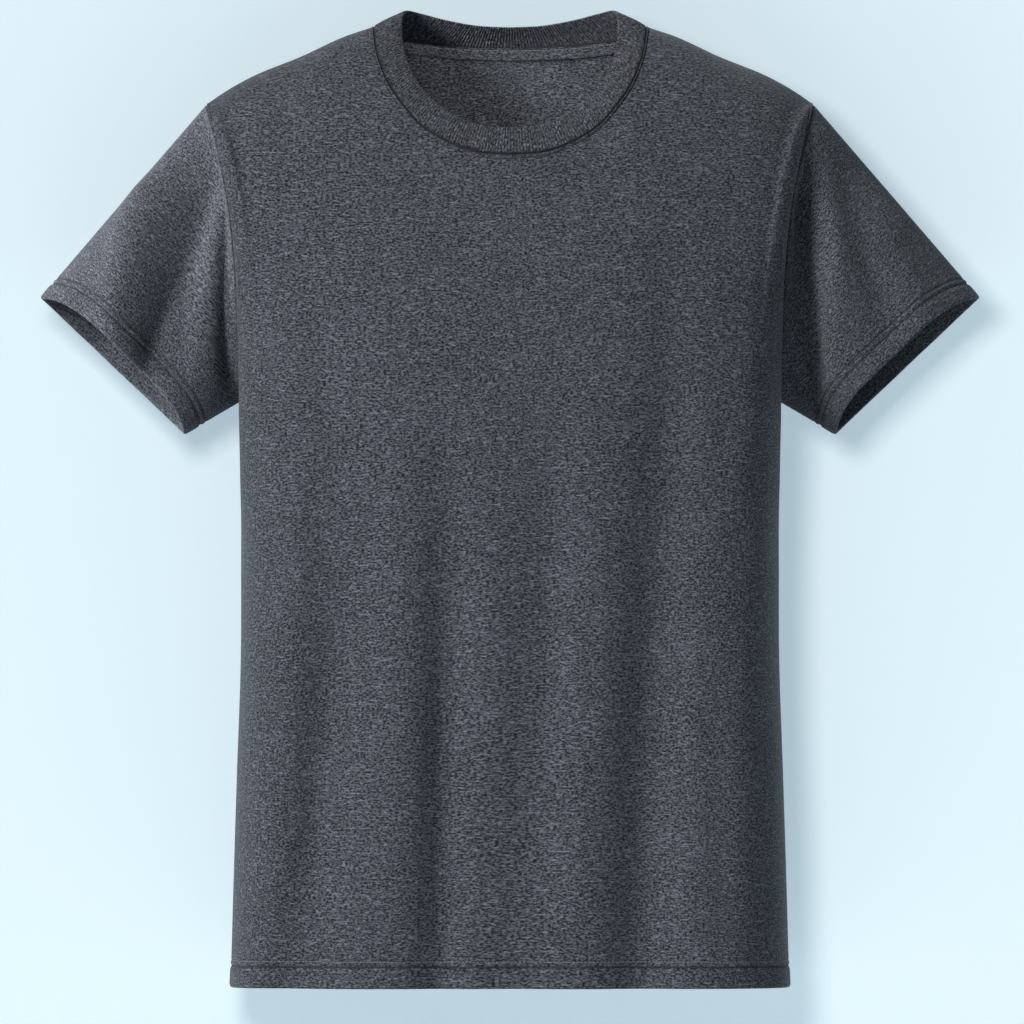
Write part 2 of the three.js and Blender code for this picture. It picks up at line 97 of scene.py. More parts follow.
BODY = table("z half front back square dent", [
    [-714, 208.5, 105, 104, 3.7, 0],
    [-692, 207.5, 105, 103.5, 3.7, 0],
    [-640, 206, 105, 103, 3.7, 0],
    [-560, 203.5, 106, 102, 3.7, 0],
    [-470, 200.5, 108, 103, 3.7, 0],
    [-380, 200.5, 111, 107, 3.5, 0.5],
    [-335, 203, 113, 111, 3.3, 5],
    [-290, 206, 114, 114, 3.1, 14],
])
ARMHOLE = table("z x", [
    [-272, 190], [-262, 195], [-240, 200], [-205, 203], [-175, 204.5],
    [-133, 209], [-102, 215], [-72, 222], [-57, 226],
])
SHOULDER = table("x z", [
    [101.7, 1], [125, -7], [155, -21], [187.5, -34], [206, -43.5], [218, -51], [226, -57],
])
NECK = table("turn seam_x seam_z edge_x edge_in edge_z", [
    [-90, 0, -94.9, 0, 11, -75],
    [-78, 26, -92.9, 20.5, 10.5, -73.3],
    [-66, 47, -85.2, 37.5, 10.5, -67.3],
    [-54, 66, -73.2, 53, 10.5, -57.3],
    [-42, 79.6, -57.8, 65.3, 10, -45],
    [-30, 91, -40.8, 73.8, 8.5, -30.8],
    [-20, 97.9, -23.6, 78.6, 6.5, -16],
    [-10, 100.8, -10, 80.4, 4, -2],
    [0, 101.7, 1, 80.2, 0, 9],
    [20, 98.5, -3.4, 77, 4.5, 13.6],
    [40, 87, -9, 66, 7.5, 11.6],
    [60, 64, -12.8, 47, 10, 6.8],
    [75, 33, -15.2, 24, 12, 2.8],
    [90, 0, -16, 0, 12.5, 1.7],
])
LOWER_RUN = [
    [0, 0, 1, 1, 1], [0.1, 8, 1, 1, 1], [0.18, 30, 0.9, 1, 1],
    [0.24, 65, 0.7, 1.15, 1], [0.3, 125, 0.45, 1.35, 1],
]
FRONT_RUN = table("share inward up start guide_z", LOWER_RUN + [
    [0.36, 180, 0, 1.5, 1], [0.5, 170, 0, 1.55, 1], [0.62, 150, 0.1, 1.55, 1],
    [0.8, 165, 0.25, 1.4, 9], [1, 190, 0.42, 1.2, 12],
])
BACK_RUN = table("share inward up start guide_z", LOWER_RUN + [
    [0.36, 185, 0, 1.5, 1], [0.5, 180, 0, 1.6, 1], [0.62, 160, 0.05, 1.6, 1],
    [0.8, 155, 0.05, 1.55, 16], [1, 153, 0.06, 1.5, 25],
])

# Hanging folds: each trough runs from x at the hem to x at its top, where it fades out. bow is
# how far its middle swings sideways.
FRONT_FOLDS = table("hem_x top_x top_z depth width bow", [
    [-160, -133, -140, 15, 25, 24],
    [-50, -44, -262, 14.5, 19, 3],
    [7, 38, -272, 15.5, 22, -2],
    [99, 127, -170, 17.5, 26, -4],
    [188, 178, -300, 4, 18, 0],
])
BACK_FOLDS = table("hem_x top_x top_z depth width bow", [
    [-150, -120, -160, 14, 26, -8],
    [-72, -52, -310, 12, 21, 4],
    [24, 12, -250, 15, 25, 7],
    [112, 96, -180, 14.5, 23, -5],
    [184, 172, -320, 5, 19, 0],
])
# Smaller creases, each along a straight line on a panel, from one end to the other.
FRONT_CREASES = table("x0 z0 x1 z1 depth width", [
    [-196, -300, -168, -420, 1.6, 9],
    [-188, -262, -150, -330, 1.3, 10],
    [192, -292, 168, -400, 1.7, 9],
    [186, -256, 150, -322, 1.2, 10],
    [-96, -470, -104, -640, 1.1, 10],
    [62, -420, 52, -560, 1.0, 9],
    [150, -500, 158, -668, 1.2, 10],
    [-22, -560, -16, -690, 0.9, 8],
    [182, -185, 176, -705, -4.8, 17],
    [122, -140, 116, -330, 3.5, 19],
    [-140, -180, -146, -640, 3.6, 17],
    [-47, -270, -51, -700, 2.6, 14],
    [30, -275, 22, -700, 2.4, 15],
])
BACK_CREASES = table("x0 z0 x1 z1 depth width", [
    [-194, -296, -160, -410, 1.8, 9],
    [190, -300, 158, -430, 1.6, 10],
    [-110, -120, -150, -210, 1.4, 12],
    [118, -118, 152, -205, 1.3, 12],
    [-20, -430, -30, -600, 1.1, 10],
    [70, -500, 64, -660, 1.2, 9],
    [-118, -480, -112, -650, 1.0, 10],
])
# Valleys on the sleeves, seen from the front (and from behind), each from one end to the other.
LEFT_FRONT = table("x0 z0 x1 z1 depth width", [
    [223, -104, 217, -292, 17, 13],
    [250, -92, 288, -240, 8, 17],
    [292, -150, 330, -210, 3, 12],
    [236, -120, 246, -262, -2.5, 10],
])
LEFT_BACK = table("x0 z0 x1 z1 depth width", [
    [224, -96, 214, -270, 11, 14],
    [256, -120, 276, -262, 5.5, 15],
    [292, -160, 318, -232, 3, 13],
])
RIGHT_FRONT = table("x0 z0 x1 z1 depth width", [
    [207, -120, 200, -286, 11, 13],
    [227, -70, 266, -286, 19, 20],
    [266, -104, 301, -232, -8, 15],
])
RIGHT_BACK = table("x0 z0 x1 z1 depth width", [
    [222, -90, 212, -276, 10, 12],
    [248, -112, 284, -254, 8, 18],
    [300, -168, 322, -226, 3, 11],
])
CUFF_X, CUFF_Y, CUFF_Z = 296.5, -4.0, -252.0
CUFF_CHORD, CUFF_TILT = 147.8, math.radians(43.6)
CUFF_FRONT, CUFF_BACK, CUFF_RISE = 45.0, 38.0, 13.0
SLEEVE_SWELL = 3.0


# ---- mathematics ----
def ease(value):
    value = np.clip(value, 0, 1)
    return value * value * (3 - 2 * value)


def bell(distance, width):
    return np.exp(-((distance / width) ** 2))


def unit(vectors):
    return vectors / np.maximum(np.linalg.norm(vectors, axis=-1, keepdims=True), 1e-12)


def point(x, y, z):
    return np.stack(np.broadcast_arrays(x, y, z), axis=-1).astype(float)


def hermite(start, end, slope_start, slope_end, t):
    rise = t * t * (3 - 2 * t)
    return start + (end - start) * rise + slope_start * t * (1 - t) ** 2 - slope_end * t * t * (1 - t)


def read(rows, key, value, *names):
    keys = rows[key]
    last = len(keys) - 1
    i = np.searchsorted(keys[1:last], value)
    before, after = np.maximum(i - 1, 0), np.minimum(i + 2, last)
    span = keys[i + 1] - keys[i]
    t = np.clip((value - keys[i]) / span, 0, 1)
    found = []
    for name in names:
        column = rows[name]
        slope_a = (column[i + 1] - column[before]) / (keys[i + 1] - keys[before]) * span
        slope_b = (column[after] - column[i]) / (keys[after] - keys[i]) * span
        found.append(hermite(column[i], column[i + 1], slope_a, slope_b, t))
    return found[0] if len(found) == 1 else found


# ---- seams of the wearer's left half ----
def armhole(turn, side):
    z = ARMHOLE_Z + ARMHOLE_RISE * (1 - np.cos(turn)) / 2
    reach = np.where(side < 0, ARMHOLE_FRONT, ARMHOLE_BACK)
    y = side * reach * np.maximum(np.sin(turn), 0) ** 0.8
    return point(read(ARMHOLE, "z", z, "x"), y, z)


def armhole_loop(turn):
    turn = np.mod(turn, 2 * np.pi)
    front = turn <= np.pi
    return armhole(np.where(front, turn, 2 * np.pi - turn), np.where(front, -1, 1))


def neck_turn(share, side):
    return side * 90 * (share - TO_NECK) / (1 - TO_NECK)


def neck_share(turn):
    return TO_NECK + np.abs(turn) / 90 * (1 - TO_NECK)


def climb_to(share, side):
    """Where a panel's threads climb to: the armhole, the shoulder seam, or past the neckline."""
    arm = armhole(np.pi * np.clip(share, 0, TO_SHOULDER) / TO_SHOULDER, side)
    along = np.clip((share - TO_SHOULDER) / (TO_NECK - TO_SHOULDER), 0, 1)
    x = SHOULDER_X + (NECK_X - SHOULDER_X) * along
    shoulder = point(x, 0, read(SHOULDER, "x", x, "z"))
    guide = read(FRONT_RUN if side < 0 else BACK_RUN, "share", share, "guide_z")
    turn = neck_turn(np.maximum(share, TO_NECK), side)
    past = point(read(NECK, "turn", turn, "seam_x"), 0, guide)
    on_arm, on_shoulder = share <= TO_SHOULDER, share <= TO_NECK
    return np.where(on_arm[..., None], arm, np.where(on_shoulder[..., None], shoulder, past))


# ---- body ----
def body_ring(share, z, side):
    """A quarter of the body's girth at a height, from the side seam to the middle."""
    half, front, back, square, dent = read(BODY, "z", z, "half", "front", "back", "square", "dent")
    angle = share * np.pi / 2
    power = 2 / square
    y = side * (front if side < 0 else back) * np.sin(angle) ** power
    x = half * np.maximum(np.cos(angle), 0) ** power - dent * bell(y, DENT_WIDTH)
    return point(x, y, z)


def chest_point(share, climb, side):
    """A point of a panel above the chest line, before the neckline is cut."""
    chest = body_ring(share, np.full_like(share, CHEST_Z), side)
    top = climb_to(share, side)
    runs = FRONT_RUN if side < 0 else BACK_RUN
    inward, up, start = read(runs, "share", share, "inward", "up", "start")
    rise = top[..., 2] - chest[..., 2]
    return point(
        hermite(chest[..., 0], top[..., 0], 0, SIDE_SLOPE * (top[..., 0] - chest[..., 0]), climb),
        hermite(chest[..., 1], top[..., 1], 0, -side * inward, climb),
        hermite(chest[..., 2], top[..., 2], start * rise, up * rise, climb),
    )


def neck_cuts(side):
    """How far up each thread of a panel the neckline cuts it."""
    share = np.linspace(TO_NECK, 1, 500)
    seam_z = read(NECK, "turn", neck_turn(share, side), "seam_z")
    low, high = np.full_like(share, 0.3), np.ones_like(share)
    for _ in range(40):
        middle = (low + high) / 2
        under = chest_point(share, middle, side)[..., 2] < seam_z
        low, high = np.where(under, middle, low), np.where(under, high, middle)
    return share, (low + high) / 2


CUTS = {side: neck_cuts(side) for side in (-1, 1)}


def smooth_panel(share, level, side):
    """The wearer's left half of a panel, before its folds: level is 0 at the hem, 2 at the top."""
    share, level = np.broadcast_arrays(np.asarray(share, float), np.asarray(level, float))
    low = body_ring(share, HEM_Z + (CHEST_Z - HEM_Z) * np.clip(level, 0, 1), side)
    climb = np.clip(level - 1, 0, 1)
    cut = np.where(share > TO_NECK, np.interp(share, *CUTS[side]), 1.0)
    high = chest_point(share, climb * cut, side)
    turn = neck_turn(np.maximum(share, TO_NECK), side)
    drift = read(NECK, "turn", turn, "seam_x") - chest_point(share, cut, side)[..., 0]
    high[..., 0] += np.where(share > TO_NECK, drift * climb**2, 0)
    return np.where((level <= 1)[..., None], low, high)


def fold_depth(folds, x, z):
    """How deep the hanging folds are at a point of a panel."""
    depth = np.zeros_like(x)
    for hem_x, top_x, top_z, deep, width, bow in zip(*folds.values()):
        climb = (z - HEM_Z) / (top_z - HEM_Z)
        centre = hem_x + (top_x - hem_x) * climb + bow * np.sin(np.pi * np.clip(climb, 0, 1))
        depth += deep * bell(x - centre, width) * ease((1 - climb) * FOLD_FADE)
    return depth


def crease_depth(creases, x, z):
    """How deep the straight creases are at a point of a panel or a sleeve."""
    depth = np.zeros_like(x)
    for x0, z0, x1, z1, deep, width in zip(*creases.values()):
        length = math.hypot(x1 - x0, z1 - z0)
        along = ((x - x0) * (x1 - x0) + (z - z0) * (z1 - z0)) / length**2
        across = ((x - x0) * (z1 - z0) - (z - z0) * (x1 - x0)) / length
        first = ease(along * CREASE_START + CREASE_LEAST)
        last = ease((1 - along) * CREASE_END + CREASE_LEAST)
        depth += deep * bell(across, width) * first * last
    return depth


def panel_point(half, share, level, side):
    """A point of a panel with its folds. half is 1 on the wearer's left and -1 on the right."""
    place = smooth_panel(share, level, side)
    place[..., 0] *= half
    folds, creases = (FRONT_FOLDS, FRONT_CREASES) if side < 0 else (BACK_FOLDS, BACK_CREASES)
    calm = 1 - ease((level - YOKE_CALM) * 2)
    flank = ease(share / FLANK_CALM)
    x, z = place[..., 0], place[..., 2]
    press = fold_depth(folds, x, z) * calm + crease_depth(creases, x, z)
    place[..., 1] -= side * press * flank
    return place


def neck_seam(turn):
    turn = np.asarray(turn, float)
    front = smooth_panel(neck_share(turn), 2.0, -1)
    back = smooth_panel(neck_share(turn), 2.0, 1)
    return np.where((turn < 0)[..., None], front, back)


def collar_edge(turn):
    turn = np.asarray(turn, float)
    x, inward, z = read(NECK, "turn", turn, "edge_x", "edge_in", "edge_z")
    return point(x, neck_seam(turn)[..., 1] - inward * np.sign(turn), z)


# ---- sleeves ----
def cuff_point(turn):
    """A point round the cuff of the wearer's left sleeve."""
    across = np.sin(turn)
    along = -np.cos(turn) * CUFF_CHORD / 2
    depth = np.where(across > 0, CUFF_FRONT, CUFF_BACK)
    rise = CUFF_RISE * ease(across)
    cos, sin = math.cos(CUFF_TILT), math.sin(CUFF_TILT)
    return point(
        CUFF_X + along * cos - rise * sin,
        CUFF_Y * np.abs(across) - depth * across,
        CUFF_Z + along * sin + rise * cos,
    )


ARM_AXIS = np.array([math.sin(CUFF_TILT), 0, -math.cos(CUFF_TILT)])


def sleeve_point(turn, level, half=0):
    """A point of the wearer's left sleeve. half gives it the creases of the left (1) or right (-1)."""
    turn, level = np.broadcast_arrays(np.asarray(turn, float), np.asarray(level, float))
    start, end = armhole_loop(turn), cuff_point(turn)
    place = start + (end - start) * level[..., None]
    top_start = (armhole_loop(np.array(0.0)) + armhole_loop(np.array(np.pi))) / 2
    middle = top_start + (np.array([CUFF_X, CUFF_Y, CUFF_Z]) - top_start) * level[..., None]
    reach = level * np.linalg.norm(end - start, axis=-1)
    push = SLEEVE_SWELL * np.sin(np.pi * level) * np.abs(np.sin(turn))
    if half:
        valleys = (LEFT_FRONT, LEFT_BACK) if half > 0 else (RIGHT_FRONT, RIGHT_BACK)
        x, z = place[..., 0], place[..., 2]
        press = np.where(turn < np.pi, crease_depth(valleys[0], x, z), crease_depth(valleys[1], x, z))
        push = push - press * ease(np.abs(np.sin(turn)) / 0.55) * ease(reach / 9)
    outward = place - middle
    outward = unit(outward - (outward @ ARM_AXIS)[..., None] * ARM_AXIS)
    return place + outward * push[..., None]


# ---- seam directions: both pieces turn in along the same line ----
STEP = 1e-3


def armhole_lid(turn):
    """Outward direction midway between the body and the sleeve, along the armhole."""
    front = turn <= np.pi
    share = np.where(front, turn, 2 * np.pi - turn) / np.pi * TO_SHOULDER
    along = armhole_loop(turn + STEP) - armhole_loop(turn - STEP)
    climb = np.where(
        front[..., None],
        smooth_panel(share, 2.0, -1) - smooth_panel(share, 2 - 0.01, -1),
        smooth_panel(share, 2.0, 1) - smooth_panel(share, 2 - 0.01, 1),
    )
    down_arm = sleeve_point(turn, 0.01) - sleeve_point(turn, 0.0)
    return unit(unit(np.cross(climb, along)) + unit(np.cross(down_arm, along)))


def collar_lid(turn, level=0.0):
    """Outward direction of the collar band at its turn, blended toward the body at the seam."""
    middle = lambda u: (neck_seam(u) + collar_edge(u)) / 2
    along = middle(np.minimum(turn + 1, 90)) - middle(np.maximum(turn - 1, -90))
    band = unit(np.cross(along, collar_edge(turn) - neck_seam(turn)))
    band = band * np.where(band[..., 2:] < 0, -1, 1)
    share = neck_share(turn)
    body = np.zeros_like(band)
    for side in (-1, 1):
        across = smooth_panel(np.minimum(share + STEP, 1), 2.0, side) - smooth_panel(share - STEP, 2.0, side)
        climb = smooth_panel(share, 2.0, side) - smooth_panel(share, 1.99, side)
        normal = unit(np.cross(across, climb)) * side
        body = np.where((np.sign(turn + 1e-9) == side)[..., None], normal, body)
    return unit(band + (body - band) * (1 - level) * 0.5)


# ---- meshes ----
def make_piece(name, verts, faces, uvs, material, groove_shade):
    """The last argument is painted shade at each vertex, from 0 to 1: dark lines along seams and stitch rows
    that stand for the shade in their grooves.
    """
    mesh = bpy.data.meshes.new(name)
    mesh.from_pydata((np.asarray(verts) * MM).tolist(), [], faces)
    mesh.update()
    layer = mesh.uv_layers.new(name="cloth")
    corner = np.empty(len(mesh.loops), dtype=np.int32)
    mesh.loops.foreach_get("vertex_index", corner)
    layer.data.foreach_set("uv", (np.asarray(uvs)[corner] * MM).astype(np.float32).ravel())
    layer = mesh.attributes.new("groove_shade", "FLOAT", "POINT")
    layer.data.foreach_set("value", np.asarray(groove_shade, np.float32).ravel())
    mesh.polygons.foreach_set("use_smooth", [True] * len(mesh.polygons))
    piece = bpy.data.objects.new(name, mesh)
    bpy.context.scene.collection.objects.link(piece)
    mesh.materials.append(material)
    return piece


def grid_faces(rows, columns, flip, closed=False):
    """Quads over a grid of vertices; a closed one also joins its last row and column to its first."""
    index = np.arange(rows * columns).reshape(rows, columns)
    if closed:
        index = np.concatenate([index, index[:1]])
        index = np.concatenate([index, index[:, :1]], axis=1)
    quads = np.stack([index[:-1, :-1], index[:-1, 1:], index[1:, 1:], index[1:, :-1]], axis=-1)
    quads = quads.reshape(-1, 4)
    return (quads if flip else quads[:, ::-1]).tolist()


def grid_normals(grid, outward):
    """Unit normals on the outward side, and whether the grid's own order gave the other side."""
    rows = np.gradient(grid, axis=0)
    columns = np.gradient(grid, axis=1)
    normals = unit(np.cross(rows, columns))
    flip = np.mean(np.sum(normals * outward, axis=-1)) < 0
    return -normals if flip else normals, flip


def run_length(grid, axis, keep=(0, 1, 2)):
    """Length along the cloth from the grid's first row or column."""
    steps = np.linalg.norm(np.diff(grid[..., list(keep)], axis=axis), axis=-1)
    pad = [(0, 0), (0, 0)]
    pad[axis] = (1, 0)
    return np.pad(np.cumsum(steps, axis=axis), pad)


def seam_sink(distance):
    """How far a seamed edge rolls in, by its distance from the seam."""
    near = np.clip(SEAM_ROUND - distance, 0, SEAM_ROUND)
    return SEAM_ROUND - np.sqrt(SEAM_ROUND**2 - near**2)


def give_thickness(piece, thickness=JERSEY):
    solid = piece.modifiers.new("thickness", "SOLIDIFY")
    solid.thickness = thickness * MM
    solid.offset = -1


EDGE = np.array([0, 0.2, 0.5, 0.9, 1.5, 2.4, 3.2, 3.8, 4.6, 5.3, 6.2, 8])
TURN_IN = np.array([ALLOWANCE, FIRST_TURN])
EDGE_COLUMNS = len(TURN_IN)
HEM_BEND = [(HEM_ROUND - HEM_ROUND * math.sin(a), HEM_ROUND - HEM_ROUND * math.cos(a))
            for a in np.radians([180, 150, 120, 90, 60, 30])]
HEM_INSIDE = [(reach, 2 * HEM_ROUND) for reach in (HEM_DEPTH, 15.0, 8.0, 3.0)]
HEM_WRAP = np.array(HEM_INSIDE + HEM_BEND)
HEM_FACE = np.array([1.0, 2.2, 4, 6, 8, 10, 12, 13.2, 14, 14.8, 15.5, 16.2, 17, 18, 18.7, 19.4,
                     20, 20.8, 21.6, 22.6, 24, 26])


def hem_relief(distance, rows):
    """How far a hem's face stands out: two layers puff up between rows of stitches."""
    first, second = rows
    puff = 0.55 * ease(distance / 3) * ease((first - distance) / 3)
    between = 0.35 * bell(distance - (first + second) / 2, (second - first) / 3)
    channel = 0.75 * bell(distance - first, 0.9) + 0.65 * bell(distance - second, 0.9)
    above = 0.3 * ease((second + 2.5 - distance) / 2.5) * ease((distance - second) / 0.5)
    return puff + between - channel + above


def seam_relief(distance, first, height, groove):
    """A seam's allowance shows as a low ridge that ends at a row of topstitching."""
    ridge = height * ease(distance / 1.2) * ease((first - distance) / 0.9)
    return ridge - groove * bell(distance - first, 0.7)


def hem_groove_shade(shape, rows_hem, face, rows, first, second):
    """Painted shade along the stitch rows of a hem, from 0 to 1: dark lines that stand for the shade in
    their grooves.
    """
    groove_shade = np.zeros(shape)
    lines = first * bell(face - rows[0], 0.7) + second * bell(face - rows[1], 0.6)
    groove_shade[rows_hem:rows_hem + len(face)] += lines[:, None]
    return groove_shade


def hem_lines(outer, normals, face, rows):
    """Each stitch row of a hem as points on the cloth and their normals."""
    lines = {}
    for row in rows:
        at = len(HEM_WRAP) + int(np.argmin(np.abs(face - row)))
        lines[row] = (outer[at, EDGE_COLUMNS:-EDGE_COLUMNS], normals[at])
    return lines


def make_panel(name, side, material):
    """The front (side -1) or the back (side 1), with its stitch rows."""
    near = EDGE / QUARTER_GIRTH
    halves = np.concatenate([near, np.linspace(near[-1], 1, PANEL_COLUMNS)[1:]])
    share = np.concatenate([halves, halves[-2::-1]])
    half = np.concatenate([np.ones(len(halves)), -np.ones(len(halves) - 1)])
    probe = smooth_panel(share[None, :], np.linspace(1, 2, 80)[:, None], side)
    length = run_length(probe, 0)[-1]
    face = np.concatenate([HEM_FACE, np.linspace(HEM_FACE[-1], CHEST_Z - HEM_Z, PANEL_ROWS)[1:]])
    hem_run = np.concatenate([HEM_WRAP[:, 0], face])
    levels = [np.full(len(share), row / (CHEST_Z - HEM_Z)) for row in hem_run]
    for fraction in np.linspace(0, 1, YOKE_ROWS)[-2:0:-1]:
        levels.append(2 - (EDGE[-1] + (length - EDGE[-1]) * fraction) / length)
    for row in EDGE[::-1]:
        levels.append(2 - row / length)
    levels = np.array(levels)
    grid_share = np.broadcast_to(share, levels.shape)
    grid_half = np.broadcast_to(half, levels.shape)
    base = panel_point(grid_half, grid_share, levels, side)
    rows_hem = len(HEM_WRAP)
    outward = base * [1, 1, 0]
    normals, _ = grid_normals(base[rows_hem:], outward[rows_hem:])
    normals = np.concatenate([np.repeat(normals[:1], rows_hem, axis=0), normals])

    # directions along the seams
    lid = np.zeros((len(share), 3))
    on_arm = share <= TO_SHOULDER
    turn = np.pi * share / TO_SHOULDER
    lid[on_arm] = armhole_lid(np.where(side < 0, turn, 2 * np.pi - turn)[on_arm])
    on_shoulder = (share > TO_SHOULDER) & (share < TO_NECK)
    x = SHOULDER_X + (NECK_X - SHOULDER_X) * (share - TO_SHOULDER) / (TO_NECK - TO_SHOULDER)
    slope = read(SHOULDER, "x", x - 2, "z") - read(SHOULDER, "x", x + 2, "z")
    lid[on_shoulder] = unit(point(slope, 0, 4))[on_shoulder]
    on_neck = share >= TO_NECK
    lid[on_neck] = collar_lid(neck_turn(share[on_neck], side))
    lid[:, 0] *= half

    seam_run = run_length(base[::-1], 0)[::-1]
    side_run = np.minimum(run_length(base, 1), run_length(base[:, ::-1], 1)[:, ::-1])
    blend = ease(seam_run / SEAM_BLEND)[..., None]
    normals = unit(lid + (normals - lid) * blend)
    edge_blend = ease(side_run / SEAM_BLEND)[..., None]
    side_lid = point(grid_half, 0, 0)
    normals = unit(side_lid + (normals - side_lid) * np.maximum(edge_blend, 1 - blend))

    # relief
    relief = np.zeros(levels.shape)
    relief[rows_hem:rows_hem + len(face)] += hem_relief(face, HEM_ROWS)[:, None]
    arm_part = ease((TO_SHOULDER + 0.01 - grid_share) * 60)
    neck_part = ease((grid_share - TO_NECK) * 60)
    stronger = np.where(grid_half < 0, RIGHT_NECK, 1.0) if side < 0 else 1.0
    relief += arm_part * seam_relief(seam_run, ARM_TOPSTITCH, 0.8, 0.6) * ease(levels - 1.05)
    relief += neck_part * stronger * seam_relief(seam_run, NECK_TOPSTITCH, 0.9, 0.7)
    # painted shade along the hem's stitch rows and the armhole and neck seams, standing for the shade in
    # their grooves
    groove_shade = hem_groove_shade(levels.shape, rows_hem, face, HEM_ROWS, 0.85, 0.25)
    arm_line = bell(seam_run, 1.4) + 0.4 * bell(seam_run - ARM_TOPSTITCH, 0.6)
    groove_shade += arm_part * arm_line * ease((levels - 1) * 8)
    neck_line = bell(seam_run, 1.6) + 0.6 * stronger * bell(seam_run - NECK_SHADE_LINE, 0.6)
    groove_shade += neck_part * neck_line
    groove_shade = np.pad(groove_shade, ((0, 2), (2, 2)), mode="edge")
    pull = HALF_GAP * np.clip(1 - seam_run / SEAM_PULL, 0, 1)
    base = base - unit(np.gradient(base, axis=0)) * pull[..., None]
    base[..., 1] += side * HALF_GAP * np.clip(1 - side_run / SEAM_PULL, 0, 1)
    sink = seam_sink(seam_run) + seam_sink(side_run)
    wrap_depth = np.concatenate([HEM_WRAP[:, 1], np.zeros(len(levels) - rows_hem)])
    outer = base + normals * (relief - sink - wrap_depth[:, None])[..., None]

    # allowances
    neck_allowance = np.where(on_neck, NECK_ALLOWANCE / ALLOWANCE, 1.0)
    extra = [outer[-1] - lid * (k * neck_allowance)[:, None] for k in TURN_IN[::-1]]
    outer = np.concatenate([outer, np.array(extra)])
    left = [outer[:, :1] - np.array([1, 0, 0]) * k for k in TURN_IN]
    right = [outer[:, -1:] + np.array([1, 0, 0]) * k for k in TURN_IN[::-1]]
    outer = np.concatenate([*left, outer, *right], axis=1)

    # cloth coordinates: courses lie level, wales run up
    ring = smooth_panel(share[None, :], np.full((1, len(share)), 0.9), side)[0]
    ring[:, 0] *= half
    around = run_length(ring[None], 1)[0]
    around = around - around[len(halves) - 1]
    chest = panel_point(half, share, np.ones(len(share)), side)
    u = around - (base[..., 0] - chest[:, 0]) * (levels > 1)
    v = run_length(base[rows_hem:], 0, keep=(1, 2))
    v = np.concatenate([hem_run[:rows_hem, None] * np.ones(len(share)), v + 1.0])
    v = np.pad(v, ((0, 2), (2, 2)), mode="edge")
    u = np.pad(u, ((0, 2), (2, 2)), mode="edge")
    v[-2:] += TURN_IN[::-1, None]
    _, flip = grid_normals(outer, outer * [1, 1, 0])
    rows, columns = outer.shape[:2]
    uvs = np.stack([u, v], axis=-1).reshape(-1, 2)
    faces = grid_faces(rows, columns, flip)
    piece = make_piece(name, outer.reshape(-1, 3), faces, uvs, material, groove_shade)
    give_thickness(piece)
    return piece, hem_lines(outer, normals, face, HEM_ROWS)


